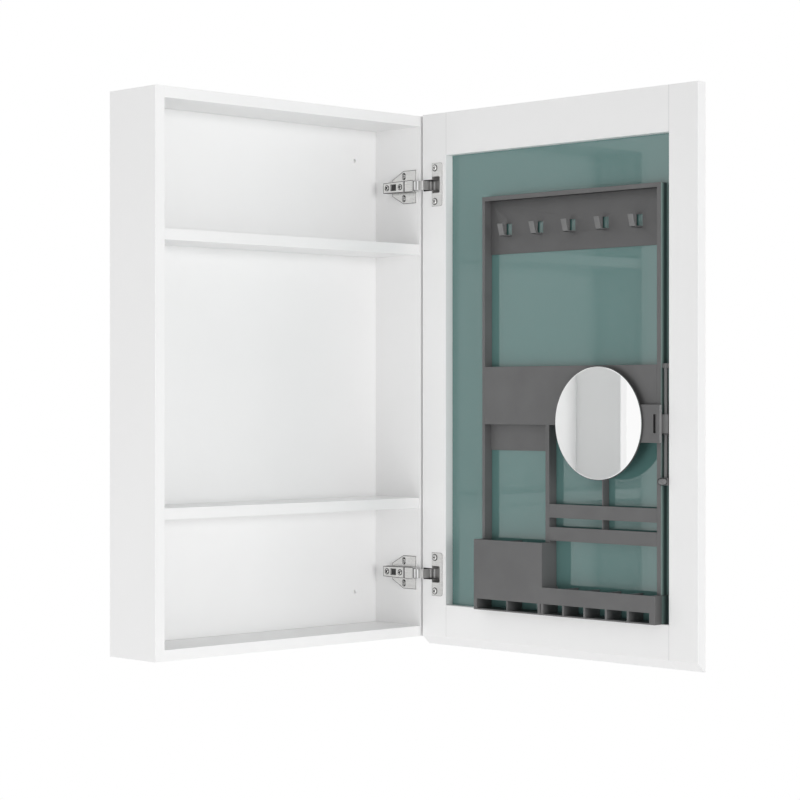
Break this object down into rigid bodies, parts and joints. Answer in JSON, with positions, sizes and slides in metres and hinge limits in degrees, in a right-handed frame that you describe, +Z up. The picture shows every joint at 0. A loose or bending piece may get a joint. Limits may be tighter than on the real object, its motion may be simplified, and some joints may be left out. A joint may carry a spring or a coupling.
{
  "type": "medicine cabinet",
  "caption": "Wall-hung medicine cabinet with shelves, a mirror door on cup hinges, and a storage rack behind it with hooks, trays, a bin and a swinging shaving mirror.",
  "frame": {"origin": "middle of the carcass's back face, on the wall", "axes": "+X to the right seen from the room, +Y into the wall, +Z up"},
  "size_m": [0.501, 0.6055, 0.762],
  "materials": {
    "white_board": "white satin lacquer",
    "dowel_wood": "bare beech",
    "mirror_back": "glossy",
    "mirror_glass": "silvered glass",
    "dark_steel": "dark",
    "nickel": "nickel plate",
    "grey_plastic": "satin",
    "bush_plastic": "smooth"
  },
  "bodies": {
    "carcass": {"left_side_panel": "white_board", "right_side_panel": "white_board", "top_panel": "white_board", "bottom_panel": "white_board", "back_panel": "white_board", "upper_shelf": "white_board", "lower_shelf": "white_board", "corner_dowels": "dowel_wood", "shelf_dowels": "dowel_wood", "hinge_plate_upper": "nickel", "hinge_plate_lower": "nickel", "hinge_arm_upper": "nickel", "hinge_arm_lower": "nickel", "hinge_neck_upper": "dark_steel", "hinge_neck_lower": "dark_steel", "hinge_spring_upper": "dark_steel", "hinge_spring_lower": "dark_steel", "hinge_plate_screws": "nickel", "hinge_adjusters": "nickel"},
    "door": {"hinge_stile": "white_board", "free_stile": "white_board", "top_rail": "white_board", "bottom_rail": "white_board", "door_dowels": "dowel_wood", "door_mirror": "mirror_glass", "mirror_backing": "mirror_back", "hinge_cup_upper": "nickel", "hinge_cup_lower": "nickel", "hinge_pin_upper": "dark_steel", "hinge_pin_lower": "dark_steel", "hinge_stop_upper": "nickel", "hinge_stop_lower": "nickel", "hinge_cup_screws": "nickel", "rack_frame": "grey_plastic", "hook_panel": "grey_plastic", "pocket_front": "grey_plastic", "pocket_back": "grey_plastic", "tray_post": "grey_plastic", "tray_dividers": "grey_plastic", "upper_tray": "grey_plastic", "lower_tray": "grey_plastic", "storage_bin": "grey_plastic", "mirror_rod": "grey_plastic", "rod_knob": "grey_plastic"},
    "mirror_slider": {"slide_bush": "bush_plastic"},
    "swing_mirror": {"mirror_sleeve": "grey_plastic", "mirror_bracket": "grey_plastic", "mirror_case": "grey_plastic", "shaving_mirror": "mirror_glass"}
  },
  "joints": [
    {"name": "door_swing", "type": "hinge", "parent": "carcass", "child": "door", "pos_m": [0.243, -0.1105, 0], "axis": [0, 0, 1], "range_deg": [-90, 10]},
    {"name": "mirror_slide", "type": "slide", "parent": "door", "child": "mirror_slider", "axis": [0, 0, 1], "range_m": [-0.03, 0.055]},
    {"name": "mirror_swing", "type": "hinge", "parent": "mirror_slider", "child": "swing_mirror", "pos_m": [0.236, -0.551, -0.06525], "axis": [0, 0, 1], "range_deg": [0, 25]}
  ]
}
